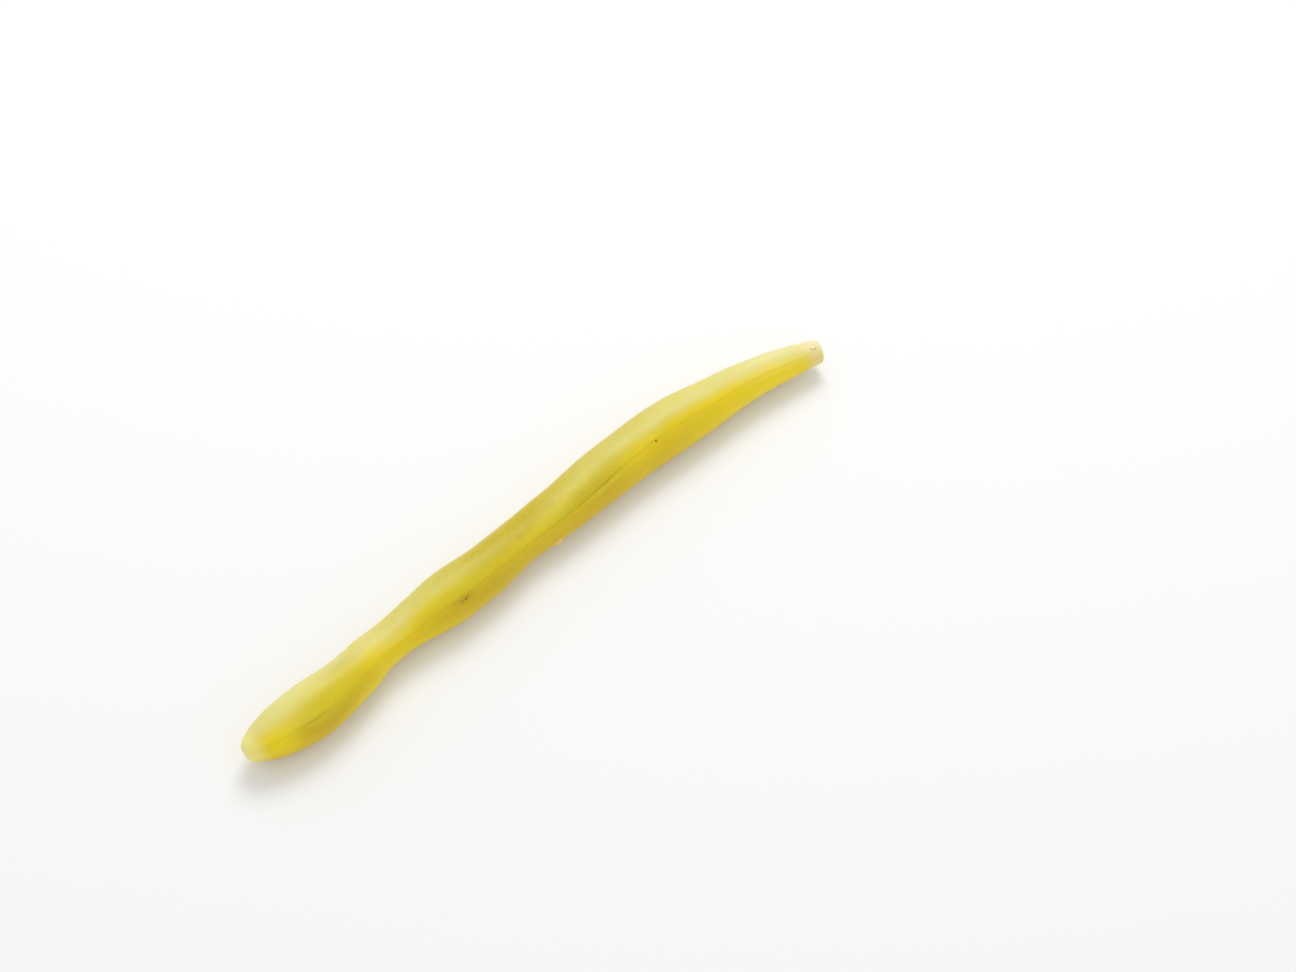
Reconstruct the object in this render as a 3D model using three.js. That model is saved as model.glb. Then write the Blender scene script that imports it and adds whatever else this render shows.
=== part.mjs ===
// A wax bean: one yellow snap-bean pod, trimmed at both ends, lying on its side.
//
// Millimetres, +Z up. The pod runs along X, from its blunt blossom end at -X to the square stem
// cut at +X. The origin is on the surface that it lies on, below the middle of its bounding box.
//
// The pod is turned on a lathe as a straight body, its section is shaped, and the body is then
// bent along its spine and pressed flat where its weight rests.

import * as THREE from "three";

// ---- Driving dimensions ----

// The pod's centre line, from the blossom end to the stem cut: along, across, height. The tilt is
// how many degrees the near suture is turned above the level there.
const SPINE_KNOTS = [
  { place: [-57.7, -2.68, 4.3], tilt: 41 },
  { place: [-52.0, -2.82, 4.25], tilt: 41 },
  { place: [-47.0, -2.86, 4.15], tilt: 40 },
  { place: [-42.5, -2.65, 4.1], tilt: 41 },
  { place: [-39.5, -2.25, 4.0], tilt: 43 },
  { place: [-36.0, -1.6, 3.95], tilt: 43 },
  { place: [-33.5, -0.9, 3.9], tilt: 41 },
  { place: [-28.5, -0.36, 3.9], tilt: 37 },
  { place: [-25.0, -0.15, 3.95], tilt: 41 },
  { place: [-21.0, -0.15, 4.05], tilt: 43.5 },
  { place: [-17.0, -0.03, 4.05], tilt: 43.5 },
  { place: [-10.5, 0.25, 4.0], tilt: 43.5 },
  { place: [-3.0, 1.3, 3.85], tilt: 38 },
  { place: [6.0, 1.75, 3.95], tilt: 41 },
  { place: [13.0, 2.4, 4.1], tilt: 45 },
  { place: [20.5, 2.85, 4.15], tilt: 49 },
  { place: [26.0, 3.0, 4.2], tilt: 51 },
  { place: [31.0, 2.86, 4.15], tilt: 51 },
  { place: [36.5, 2.52, 4.05], tilt: 51 },
  { place: [42.0, 2.32, 3.95], tilt: 50 },
  { place: [48.0, 1.58, 3.8], tilt: 49 },
  { place: [53.0, 0.62, 3.65], tilt: 48.5 },
  { place: [57.75, -0.62, 3.5], tilt: 48 },
];

// Half the pod's width across its flanks where no seed fills it, and how it runs down to the cut.
const HALF_WIDTH_BLOSSOM = 3.15;
const HALF_WIDTH_STEM = 3.26;
const HALF_WIDTH_CUT = 1.92;
const NECK_LENGTH = 20;

// The seeds inside show as swellings of the two flanks: place along the pod, rise and reach. Where
// the rise is negative, the pod is pinched between two seeds.
const SEEDS = [
  { at: 11.7, rise: 1.26, reach: 7.6 },
  { at: 22, rise: 0.25, reach: 4 },
  { at: 27.5, rise: -0.13, reach: 3 },
  { at: 39, rise: 0.8, reach: 6 },
  { at: 47, rise: 0.68, reach: 7.5 },
  { at: 59.5, rise: 0.12, reach: 3 },
  { at: 70.5, rise: 1.0, reach: 12 },
  { at: 87.5, rise: 1.06, reach: 9.7 },
];

// From suture to suture the section is deeper than it is wide, and the seeds swell it less.
const DEPTH_SHARE = 1.06;
const DEPTH_RISE_SHARE = 0.75;

// The furrow along each suture.
const FURROW_DEPTH = 0.15;
const FURROW_HALF_WIDTH = 0.7;
const FURROW_FADE = 14;

// The ends: a round nose with a small trimmed face, and a square cut with a soft rim and a dimple.
const NOSE_LENGTH = 6.8;
const NOSE_TRIM_ANGLE = THREE.MathUtils.degToRad(24.5);
const RIM_RADIUS = 0.5;
const DIMPLE_DEPTH = 0.35;

// Facets.
const SIDES = 40;
const NOSE_STEPS = 8;
const BODY_STEPS = 54;
const RIM_STEPS = 3;

const UP = new THREE.Vector3(0, 0, 1);
const spine = new THREE.CatmullRomCurve3(
  SPINE_KNOTS.map((knot) => new THREE.Vector3(...knot.place)),
  false,
  "catmullrom",
);
spine.arcLengthDivisions = 400;
const LENGTH = spine.getLength();

// The tilt of the near suture runs through the knots as the spine does. It is this curve's height.
const tilts = new THREE.SplineCurve(
  SPINE_KNOTS.map((knot, i) => new THREE.Vector2(i, THREE.MathUtils.degToRad(knot.tilt))),
);

// ---- Girth ----

// A smooth hump of height 1 at 0 that has died away by about 2.
function hump(t) {
  return Math.exp(-t * t);
}

function seedRise(along) {
  return SEEDS.reduce((sum, seed) => sum + seed.rise * hump((along - seed.at) / seed.reach), 0);
}

function bareHalfWidth(along) {
  const body = THREE.MathUtils.lerp(HALF_WIDTH_BLOSSOM, HALF_WIDTH_STEM, along / LENGTH);
  const downNeck = Math.max(0, 1 - (LENGTH - along) / NECK_LENGTH);
  return body - (HALF_WIDTH_STEM - HALF_WIDTH_CUT) * downNeck * downNeck;
}

// How much of the full girth the nose has: as on an ellipse whose tip is trimmed off, up to 1
// where the nose meets the body.
function noseShare(along) {
  const left = Math.cos(NOSE_TRIM_ANGLE) * Math.max(0, 1 - along / NOSE_LENGTH);
  return Math.sqrt(1 - left * left);
}

function halfWidth(along) {
  return noseShare(along) * (bareHalfWidth(along) + seedRise(along));
}

function halfDepth(along) {
  const full = DEPTH_SHARE * bareHalfWidth(along) + DEPTH_RISE_SHARE * seedRise(along);
  return noseShare(along) * full;
}

// How far the surface sinks at a suture: across is the distance from the suture's own line.
function furrow(along, across) {
  const clearOfEnds =
    THREE.MathUtils.smoothstep(along, 0, FURROW_FADE) *
    (1 - THREE.MathUtils.smoothstep(along, LENGTH - FURROW_FADE, LENGTH));
  return FURROW_DEPTH * clearOfEnds * hump(across / FURROW_HALF_WIDTH);
}

// ---- The straight pod ----

// The outline of the pod's flank, from the middle of the trimmed nose to the middle of the cut.
function flankOutline() {
  const outline = [new THREE.Vector2(0, 0)];
  for (let i = 0; i <= NOSE_STEPS; i++) {
    const turn = THREE.MathUtils.lerp(NOSE_TRIM_ANGLE, Math.PI / 2, i / NOSE_STEPS);
    const along = NOSE_LENGTH * (1 - Math.cos(turn) / Math.cos(NOSE_TRIM_ANGLE));
    outline.push(new THREE.Vector2(halfWidth(along), along));
  }
  const rimStart = LENGTH - RIM_RADIUS;
  for (let i = 1; i <= BODY_STEPS; i++) {
    const along = THREE.MathUtils.lerp(NOSE_LENGTH, rimStart, i / BODY_STEPS);
    outline.push(new THREE.Vector2(halfWidth(along), along));
  }
  const rimCentre = halfWidth(rimStart) - RIM_RADIUS;
  for (let i = 1; i <= RIM_STEPS; i++) {
    const turn = ((Math.PI / 2) * i) / RIM_STEPS;
    outline.push(
      new THREE.Vector2(
        rimCentre + RIM_RADIUS * Math.cos(turn),
        rimStart + RIM_RADIUS * Math.sin(turn),
      ),
    );
  }
  outline.push(new THREE.Vector2(rimCentre / 2, LENGTH));
  outline.push(new THREE.Vector2(0, LENGTH - DIMPLE_DEPTH));
  return outline;
}

// Turns the lathe's round section into the pod's: x is across the flanks and z from suture to suture.
function shapeSection(point) {
  const along = THREE.MathUtils.clamp(point.y, 0, LENGTH);
  const reach = halfWidth(along);
  const inward = furrow(along, point.x) * Math.abs(point.z / reach);
  point.z *= halfDepth(along) / reach;
  point.z -= Math.sign(point.z) * inward;
}

// ---- Bending and resting ----

// The frame of the section at a place along the spine: x across the flanks, y along the pod,
// z towards the near suture.
function frameAt(along) {
  const share = along / LENGTH;
  const forward = spine.getTangentAt(share);
  const nearSide = new THREE.Vector3().crossVectors(forward, UP).normalize();
  const upright = new THREE.Vector3().crossVectors(nearSide, forward);
  const tilt = tilts.getPoint(spine.getUtoTmapping(share)).y;
  const suture = nearSide.multiplyScalar(Math.cos(tilt)).addScaledVector(upright, Math.sin(tilt));
  const flank = new THREE.Vector3().crossVectors(forward, suture);
  return new THREE.Matrix4().makeBasis(flank, forward, suture).setPosition(spine.getPointAt(share));
}

function bendAlongSpine(point) {
  const frame = frameAt(THREE.MathUtils.clamp(point.y, 0, LENGTH));
  point.y = 0;
  point.applyMatrix4(frame);
}

// The underside is soft: what would lie below the surface is pressed flat against it.
function pressOnSurface(point) {
  point.z = Math.max(point.z, 0);
}

function podGeometry() {
  const geometry = new THREE.LatheGeometry(flankOutline(), SIDES);
  const places = geometry.getAttribute("position");
  const point = new THREE.Vector3();
  for (let i = 0; i < places.count; i++) {
    point.fromBufferAttribute(places, i);
    shapeSection(point);
    bendAlongSpine(point);
    pressOnSurface(point);
    places.setXYZ(i, point.x, point.y, point.z);
  }
  geometry.computeBoundingBox();
  const middle = geometry.boundingBox.getCenter(new THREE.Vector3());
  geometry.translate(-middle.x, -middle.y, 0);
  geometry.computeVertexNormals();
  return geometry;
}

const waxySkin = new THREE.MeshStandardMaterial({ color: 0xd9c73a, roughness: 0.45, metalness: 0 });

const pod = new THREE.Mesh(podGeometry(), waxySkin);
pod.name = "pod";

const waxBean = new THREE.Group();
waxBean.add(pod);

export default waxBean;
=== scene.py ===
"""A wax bean lying on a pale surface, finished for close views from every side.

Everything is in metres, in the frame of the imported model. The pod is modelled straight, along +X
from its blossom end, with its near suture at +Z. Its skin is worked while it is straight. It is
then bent along its spine, laid on the surface and fitted to its box.
"""

import logging
import math
from collections.abc import Callable
from dataclasses import dataclass, field
from enum import Enum

import bmesh
import bpy
import numpy as np
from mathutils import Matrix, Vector


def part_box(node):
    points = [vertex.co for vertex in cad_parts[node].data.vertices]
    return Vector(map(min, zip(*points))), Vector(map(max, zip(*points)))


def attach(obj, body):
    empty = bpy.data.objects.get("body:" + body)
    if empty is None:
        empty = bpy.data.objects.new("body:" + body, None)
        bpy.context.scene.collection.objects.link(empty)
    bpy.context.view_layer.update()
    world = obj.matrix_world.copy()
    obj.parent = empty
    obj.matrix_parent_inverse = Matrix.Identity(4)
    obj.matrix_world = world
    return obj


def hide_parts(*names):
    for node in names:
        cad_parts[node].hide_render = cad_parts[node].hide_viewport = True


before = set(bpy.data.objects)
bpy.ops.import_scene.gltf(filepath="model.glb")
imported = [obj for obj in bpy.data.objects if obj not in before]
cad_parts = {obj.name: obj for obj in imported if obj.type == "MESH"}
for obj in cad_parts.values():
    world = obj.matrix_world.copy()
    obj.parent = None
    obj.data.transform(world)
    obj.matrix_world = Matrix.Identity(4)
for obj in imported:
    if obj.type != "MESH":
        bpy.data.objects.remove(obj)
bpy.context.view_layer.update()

log = logging.getLogger("wax_bean")

MM = 0.001

Place = tuple[float, float, float]
Range = tuple[float, float]
Colour = tuple[float, float, float, float]
Socket = bpy.types.NodeSocket


class Suture(Enum):
    """The pod's two seams, as the side of the straight pod that each is on."""

    NEAR = 1
    FAR = -1


class End(Enum):
    """The pod's two ends."""

    BLOSSOM = "blossom end"
    STEM = "stem cut"


# ---- Working in edit mode ----


def take_up(piece: bpy.types.Object) -> None:
    """Makes one object the only selected one and the active one.

    Args:
        piece: The object to work on.
    """
    bpy.ops.object.select_all(action="DESELECT")
    piece.select_set(True)
    bpy.context.view_layer.objects.active = piece


def select_points(piece: bpy.types.Object, wanted: Callable[[Vector], bool]) -> None:
    """Selects the points that pass a test, with the faces between them, and nothing else.

    Args:
        piece: The object in edit mode.
        wanted: Says of a point's place whether it is selected.
    """
    bpy.ops.mesh.select_mode(type="VERT")
    work = bmesh.from_edit_mesh(piece.data)
    for point in work.verts:
        point.select = wanted(point.co)
    work.select_flush_mode()
    bmesh.update_edit_mesh(piece.data)


def select_edges(piece: bpy.types.Object, wanted: Callable[[Vector], bool]) -> None:
    """Selects the edges whose two ends pass a test, and nothing else.

    Args:
        piece: The object in edit mode.
        wanted: Says of a point's place whether it may end a selected edge.
    """
    bpy.ops.mesh.select_mode(type="EDGE")
    bpy.ops.mesh.select_all(action="DESELECT")
    work = bmesh.from_edit_mesh(piece.data)
    for edge in work.edges:
        edge.select = all(wanted(point.co) for point in edge.verts)
    bmesh.update_edit_mesh(piece.data)


def apply_modifier(piece: bpy.types.Object, kind: str, **settings: object) -> None:
    """Adds a modifier to an object, sets it and applies it.

    Args:
        piece: The object to change.
        kind: The modifier's type.
        **settings: Its settings by name.
    """
    take_up(piece)
    modifier = piece.modifiers.new(kind.title(), kind)
    for name, value in settings.items():
        setattr(modifier, name, value)
    bpy.ops.object.modifier_apply(modifier=modifier.name)


# ---- The pod's sizes ----


def hump(t: np.ndarray | float) -> np.ndarray | float:
    """A smooth hump of height 1 at 0 that has died away by about 2."""
    return np.exp(-t * t)


def window(t: np.ndarray, start: float, end: float, fade: float) -> np.ndarray:
    """A smooth window from 0 to 1.

    Args:
        t: The places to look at.
        start: Where the window has fully opened.
        end: Where it starts to close.
        fade: How far outside it still reaches.

    Returns:
        How open it is at each place.
    """
    share = np.clip(1 - np.maximum(start - t, t - end) / fade, 0, 1)
    return share * share * (3 - 2 * share)


@dataclass(frozen=True)
class Seed:
    """A seed inside the pod, which swells its flanks: place along the pod, rise and reach.

    With a negative rise it is a gap between seeds, where the pod is pinched.
    """

    at: float
    rise: float
    reach: float

    def swelling(self, along: float) -> float:
        """How far this seed pushes a flank out at a place along the pod."""
        return self.rise * hump((along - self.at) / self.reach)


@dataclass(frozen=True)
class Girth:
    """How wide and how deep the pod is at each place along it.

    Blossom and stem are the half widths that a pod with no seeds would have at its two ends, and
    cut is what the neck narrows the stem end to. The nose is round, with its point trimmed off.
    """

    length: float
    blossom: float = 3.15 * MM
    stem: float = 3.26 * MM
    cut: float = 1.92 * MM
    neck: float = 20 * MM
    depth_share: float = 1.06
    depth_rise_share: float = 0.75
    nose: float = 6.8 * MM
    nose_trim: float = math.radians(24.5)
    seeds: tuple[Seed, ...] = (
        Seed(11.7 * MM, 1.26 * MM, 7.6 * MM),
        Seed(22 * MM, 0.25 * MM, 4 * MM),
        Seed(27.5 * MM, -0.13 * MM, 3 * MM),
        Seed(39 * MM, 0.8 * MM, 6 * MM),
        Seed(47 * MM, 0.68 * MM, 7.5 * MM),
        Seed(59.5 * MM, 0.12 * MM, 3 * MM),
        Seed(70.5 * MM, 1.0 * MM, 12 * MM),
        Seed(87.5 * MM, 1.06 * MM, 9.7 * MM),
    )

    def _bare(self, along: float) -> float:
        """Half the width with no seed inside, which runs down to the stem cut.

        Args:
            along: The place along the pod.

        Returns:
            Half the width there.
        """
        body = self.blossom + (self.stem - self.blossom) * along / self.length
        down_neck = max(0.0, 1 - (self.length - along) / self.neck)
        return body - (self.stem - self.cut) * down_neck**2

    def _nose_share(self, along: float) -> float:
        """How much of the full girth the round nose has here."""
        left = math.cos(self.nose_trim) * max(0.0, 1 - along / self.nose)
        return math.sqrt(1 - left * left)

    def _swelling(self, along: float) -> float:
        """How far all the seeds together push a flank out."""
        return sum(seed.swelling(along) for seed in self.seeds)

    def half_width(self, along: float) -> float:
        """Half the distance from flank to flank."""
        return self._nose_share(along) * (self._bare(along) + self._swelling(along))

    def half_depth(self, along: float) -> float:
        """Half the distance from suture to suture."""
        full = self.depth_share * self._bare(along) + self.depth_rise_share * self._swelling(along)
        return self._nose_share(along) * full

    def stations(self, nose_steps: int, body_steps: int, end: float) -> list[float]:
        """The places along the pod of its rings, closer together on the round nose.

        Args:
            nose_steps: How many steps the nose takes.
            body_steps: How many steps the rest takes.
            end: Where the last ring is.

        Returns:
            Distances from the blossom end, the first one 0.
        """
        quarter = math.pi / 2
        turns = [
            self.nose_trim + (quarter - self.nose_trim) * step / nose_steps
            for step in range(nose_steps + 1)
        ]
        nose = [self.nose * (1 - math.cos(turn) / math.cos(self.nose_trim)) for turn in turns]
        body = [
            self.nose + (end - self.nose) * step / body_steps for step in range(1, body_steps + 1)
        ]
        return nose + body


@dataclass(frozen=True)
class Knot:
    """A point of the centre line, in millimetres, and the near suture's tilt there, in degrees."""

    place: Place
    tilt: float


@dataclass(frozen=True)
class Spine:
    """The pod's centre line as it lies, from the blossom end to the stem cut."""

    knots: tuple[Knot, ...] = (
        Knot((-57.7, -2.68, 4.3), 41),
        Knot((-52.0, -2.82, 4.25), 41),
        Knot((-47.0, -2.86, 4.15), 40),
        Knot((-42.5, -2.65, 4.1), 41),
        Knot((-39.5, -2.25, 4.0), 43),
        Knot((-36.0, -1.6, 3.95), 43),
        Knot((-33.5, -0.9, 3.9), 41),
        Knot((-28.5, -0.36, 3.9), 37),
        Knot((-25.0, -0.15, 3.95), 41),
        Knot((-21.0, -0.15, 4.05), 43.5),
        Knot((-17.0, -0.03, 4.05), 43.5),
        Knot((-10.5, 0.25, 4.0), 43.5),
        Knot((-3.0, 1.3, 3.85), 38),
        Knot((6.0, 1.75, 3.95), 41),
        Knot((13.0, 2.4, 4.1), 45),
        Knot((20.5, 2.85, 4.15), 49),
        Knot((26.0, 3.0, 4.2), 51),
        Knot((31.0, 2.86, 4.15), 51),
        Knot((36.5, 2.52, 4.05), 51),
        Knot((42.0, 2.32, 3.95), 50),
        Knot((48.0, 1.58, 3.8), 49),
        Knot((53.0, 0.62, 3.65), 48.5),
        Knot((57.75, -0.62, 3.5), 48),
    )
    resolution: int = 32

    def build(self) -> bpy.types.Object:
        """Makes the centre line as a curve that turns the near suture to its tilt above the level.

        Returns:
            The curve, which its user removes once the pod is bent.
        """
        data = bpy.data.curves.new("spine", "CURVE")
        data.dimensions = "3D"
        data.twist_mode = "Z_UP"
        data.resolution_u = self.resolution
        line = data.splines.new("BEZIER")
        line.tilt_interpolation = "CARDINAL"
        places = [Vector(knot.place) * MM for knot in self.knots]
        last = len(places) - 1
        line.bezier_points.add(last)
        for i, (point, place) in enumerate(zip(line.bezier_points, places)):
            before = places[i - 1] if i > 0 else 2 * place - places[1]
            after = places[i + 1] if i < last else 2 * place - places[last - 1]
            reach = (after - before) / 6
            point.handle_left_type = point.handle_right_type = "FREE"
            point.co = place
            point.handle_left = place - reach
            point.handle_right = place + reach
            point.tilt = math.radians(90 - self.knots[i].tilt)
        made = bpy.data.objects.new("spine", data)
        bpy.context.scene.collection.objects.link(made)
        return made


# ---- What is worked into the skin ----


@dataclass(frozen=True)
class Lie:
    """Where each point of the skin is on the straight pod."""

    along: np.ndarray
    across: np.ndarray
    upward: np.ndarray

    @classmethod
    def of(cls, piece: bpy.types.Object) -> "Lie":
        """Reads the lie of a pod's points from their places.

        Args:
            piece: The pod, straight for a lie on the straight pod.

        Returns:
            The three places of every point.
        """
        places = np.empty(len(piece.data.vertices) * 3, np.float32)
        piece.data.vertices.foreach_get("co", places)
        return cls(*places.reshape(-1, 3).T.astype(float))

    @property
    def turn(self) -> np.ndarray:
        """The angle round the pod from its near suture, over the top."""
        return np.arctan2(self.across, self.upward)

    @property
    def radius(self) -> np.ndarray:
        """The distance from the pod's centre line."""
        return np.hypot(self.across, self.upward)


@dataclass(frozen=True)
class Groove:
    """A furrow along a suture or, with a negative depth, a ridge."""

    suture: Suture
    start: float
    end: float
    depth: float
    half_width: float
    fade: float = 8 * MM
    aside: float = 0.0

    def share(self, lie: Lie) -> np.ndarray:
        """How much of the depth each point takes.

        Args:
            lie: Where the points are on the straight pod.

        Returns:
            A share from 0 to 1 for each point.
        """
        beside = hump((lie.across - self.aside) / self.half_width)
        on_side = np.sign(lie.upward) == self.suture.value
        return beside * on_side * window(lie.along, self.start, self.end, self.fade)


@dataclass(frozen=True)
class Dent:
    """A hollow in the skin or, with a negative depth, a bulge. Its turn is in degrees."""

    along: float
    turn: float
    depth: float
    length: float
    breadth: float

    def share(self, lie: Lie) -> np.ndarray:
        """How much of the depth each point takes.

        Args:
            lie: Where the points are on the straight pod.

        Returns:
            A share from 0 to 1 for each point.
        """
        aside = np.remainder(lie.turn - math.radians(self.turn) + math.pi, 2 * math.pi) - math.pi
        lengthwise = (lie.along - self.along) / self.length
        return hump(np.hypot(lengthwise, aside * lie.radius / self.breadth))


@dataclass(frozen=True)
class Strands:
    """The ends of the pod's strands, which stand a little proud in a ring on its stem cut."""

    after: float
    ring: float
    count: int = 9
    size: float = 0.13 * MM
    depth: float = -0.05 * MM

    def share(self, lie: Lie) -> np.ndarray:
        """How much of the depth each point takes.

        Args:
            lie: Where the points are on the straight pod.

        Returns:
            A share from 0 to 1 for each point.
        """
        step = 2 * math.pi / self.count
        aside = np.remainder(lie.turn, step) - step / 2
        from_ring = (lie.radius - self.ring) / self.size
        return hump(np.hypot(from_ring, aside * self.ring / self.size)) * (lie.along > self.after)


@dataclass(frozen=True)
class Inset:
    """One step inwards over the face of an end: how wide it is and how far it rises."""

    width: float
    rise: float


@dataclass(frozen=True)
class Relief:
    """A fine unevenness of the skin: how long, wide and high its lumps are."""

    name: str
    length: float
    width: float
    height: float
    detail: int = 1

    def work(self, piece: bpy.types.Object, group: str = "") -> None:
        """Raises and sinks the skin by this unevenness.

        Args:
            piece: The straight pod.
            group: The vertex group to keep to, or nothing for the whole skin.
        """
        pattern = bpy.data.textures.new(self.name, "CLOUDS")
        pattern.noise_scale = 1
        pattern.noise_depth = self.detail
        grain = bpy.data.objects.new(self.name, None)
        grain.scale = (self.length, self.width, self.width)
        bpy.context.scene.collection.objects.link(grain)
        bpy.context.view_layer.update()
        apply_modifier(
            piece,
            "DISPLACE",
            texture=pattern,
            texture_coords="OBJECT",
            texture_coords_object=grain,
            strength=self.height,
            mid_level=0.5,
            vertex_group=group,
        )
        bpy.data.objects.remove(grain)
        bpy.data.textures.remove(pattern)


# ---- The pod ----


@dataclass
class Pod:
    """The bean itself, modelled straight and then bent."""

    name: str = "bean_pod"
    spine: Spine = field(default_factory=Spine)
    sides: int = 36
    nose_steps: int = 10
    body_steps: int = 96
    rim: float = 0.5 * MM
    rim_steps: int = 4
    close: float = 0.005 * MM
    seam_half_width: float = 0.5 * MM
    seam_segments: int = 4
    subdivisions: int = 2
    cut_edge: float = 0.16 * MM
    tip_bevel: float = 0.3 * MM
    tip_bevel_segments: int = 3
    tip_face: tuple[Inset, ...] = (
        Inset(cut_edge, -0.01 * MM),
        Inset(0.3 * MM, 0),
        Inset(0.3 * MM, -0.01 * MM),
        Inset(0.2 * MM, -0.05 * MM),
    )
    cut_face: tuple[Inset, ...] = (
        Inset(cut_edge, -0.07 * MM),
        Inset(0.3 * MM, 0.02 * MM),
        Inset(0.35 * MM, 0),
        Inset(0.3 * MM, -0.05 * MM),
        Inset(0.2 * MM, -0.16 * MM),
    )
    features: tuple[Groove | Dent, ...] = (
        Groove(Suture.NEAR, 6 * MM, 100 * MM, -0.1 * MM, 1.0 * MM),
        Groove(Suture.NEAR, 14 * MM, 78 * MM, 0.04 * MM, 0.16 * MM, fade=6 * MM),
        Groove(Suture.NEAR, 63 * MM, 71 * MM, 0.03 * MM, 0.1 * MM, fade=4 * MM, aside=-0.05 * MM),
        Groove(Suture.NEAR, 72 * MM, 81 * MM, 0.03 * MM, 0.1 * MM, fade=2 * MM, aside=0.1 * MM),
        Groove(Suture.NEAR, 68 * MM, 72 * MM, -0.05 * MM, 0.25 * MM, aside=-0.5 * MM),
        Groove(Suture.FAR, 6 * MM, 104 * MM, -0.14 * MM, 1.1 * MM),
        Groove(Suture.FAR, 10 * MM, 106 * MM, -0.1 * MM, 0.2 * MM),
        Groove(Suture.FAR, 24 * MM, 74 * MM, 0.12 * MM, 0.12 * MM, fade=7 * MM, aside=0.42 * MM),
        Dent(10.2 * MM, -1, 0.05 * MM, 2.0 * MM, 0.3 * MM),
        Dent(12.6 * MM, 19, 0.15 * MM, 4.2 * MM, 1.2 * MM),
        Dent(55.0 * MM, 66, 0.2 * MM, 3.2 * MM, 2.4 * MM),
        Dent(61.0 * MM, 60, -0.12 * MM, 3.0 * MM, 2.4 * MM),
        Dent(59.6 * MM, -58, -0.44 * MM, 0.85 * MM, 0.36 * MM),
        Dent(61.6 * MM, -53, -0.18 * MM, 1.5 * MM, 0.26 * MM),
        Dent(60.5 * MM, -70, 0.1 * MM, 1.4 * MM, 0.4 * MM),
        Dent(112.3 * MM, -12, 0.04 * MM, 0.9 * MM, 0.4 * MM),
        Dent(114.6 * MM, 24, 0.08 * MM, 0.6 * MM, 0.5 * MM),
        Dent(114.6 * MM, 27, -0.2 * MM, 0.28 * MM, 0.26 * MM),
        Dent(40.3 * MM, -7, 0.05 * MM, 0.8 * MM, 0.3 * MM),
        Dent(81.6 * MM, 0, 0.07 * MM, 0.3 * MM, 0.22 * MM),
        Dent(33.0 * MM, 140, 0.15 * MM, 4.0 * MM, 1.5 * MM),
        Dent(78.0 * MM, -120, 0.12 * MM, 5.0 * MM, 1.6 * MM),
        Dent(94.0 * MM, 150, 0.14 * MM, 3.5 * MM, 1.2 * MM),
    )
    reliefs: tuple[Relief, ...] = (
        Relief("lumps", 9 * MM, 4 * MM, 0.13 * MM),
        Relief("ripples", 3.4 * MM, 1.7 * MM, 0.04 * MM, detail=2),
        Relief("fibres", 12 * MM, 0.8 * MM, 0.014 * MM, detail=2),
        Relief("pores", 0.7 * MM, 0.45 * MM, 0.01 * MM),
    )
    strand_ring_share: float = 0.6
    knife_marks: Relief = Relief("knife_marks", 0.5 * MM, 0.35 * MM, 0.07 * MM, detail=2)
    piece: bpy.types.Object = field(init=False)
    girth: Girth = field(init=False)

    def build(self) -> bpy.types.Object:
        """Models the pod from its first ring to its place on the surface.

        Returns:
            The finished object.
        """
        line = self.spine.build()
        self.girth = Girth(line.data.splines[0].calc_length())
        self._grow()
        self._lay_seams()
        self._trim_blossom_end()
        self._cut_stem_end()
        bpy.ops.object.mode_set(mode="OBJECT")
        self._subdivide()
        self._mark_lie()
        self._work_skin()
        self._bend(line)
        self._lie_down()
        self._fit_box()
        return self.piece

    def _grow(self) -> None:
        """Extrudes the straight pod ring by ring out of a circle at its blossom end."""
        end = self.girth.length - self.rim
        stations = self.girth.stations(self.nose_steps, self.body_steps, end)
        width, depth = self.girth.half_width(0), self.girth.half_depth(0)
        bpy.ops.object.select_all(action="DESELECT")
        bpy.ops.mesh.primitive_circle_add(
            vertices=self.sides, radius=width, fill_type="NGON", rotation=(0, math.pi / 2, 0)
        )
        self.piece = bpy.context.object
        self.piece.name = self.piece.data.name = self.name
        bpy.ops.object.transform_apply(location=False, rotation=True, scale=False)
        bpy.ops.object.mode_set(mode="EDIT")
        bpy.ops.mesh.select_all(action="SELECT")
        bpy.ops.transform.resize(value=(1, 1, depth / width))
        for here, there in zip(stations, stations[1:]):
            self._extend(here, there, self.girth.half_width(there), self.girth.half_depth(there))
        self._round_rim(end)
        bpy.ops.mesh.select_all(action="SELECT")
        bpy.ops.mesh.normals_make_consistent(inside=False)

    def _extend(self, here: float, there: float, width: float, depth: float) -> None:
        """Extrudes the end face to a new place along the pod and gives it a new size.

        Args:
            here: Where the end face is.
            there: Where it goes.
            width: Half its width there.
            depth: Half its depth there.
        """
        ends = [point.co for point in bmesh.from_edit_mesh(self.piece.data).verts if point.select]
        wider = width / max(co.y for co in ends)
        deeper = depth / max(co.z for co in ends)
        bpy.ops.mesh.extrude_region_move(TRANSFORM_OT_translate={"value": (there - here, 0, 0)})
        bpy.ops.transform.resize(value=(1, wider, deeper), center_override=(there, 0, 0))

    def _round_rim(self, start: float) -> None:
        """Rounds the edge of the stem cut.

        Args:
            start: Where the rim begins along the pod.
        """
        here = start
        width = self.girth.half_width(start) - self.rim
        depth = self.girth.half_depth(start) - self.rim
        for step in range(1, self.rim_steps + 1):
            turn = math.pi / 2 * step / self.rim_steps
            there = start + self.rim * math.sin(turn)
            swell = self.rim * math.cos(turn)
            self._extend(here, there, width + swell, depth + swell)
            here = there

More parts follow.
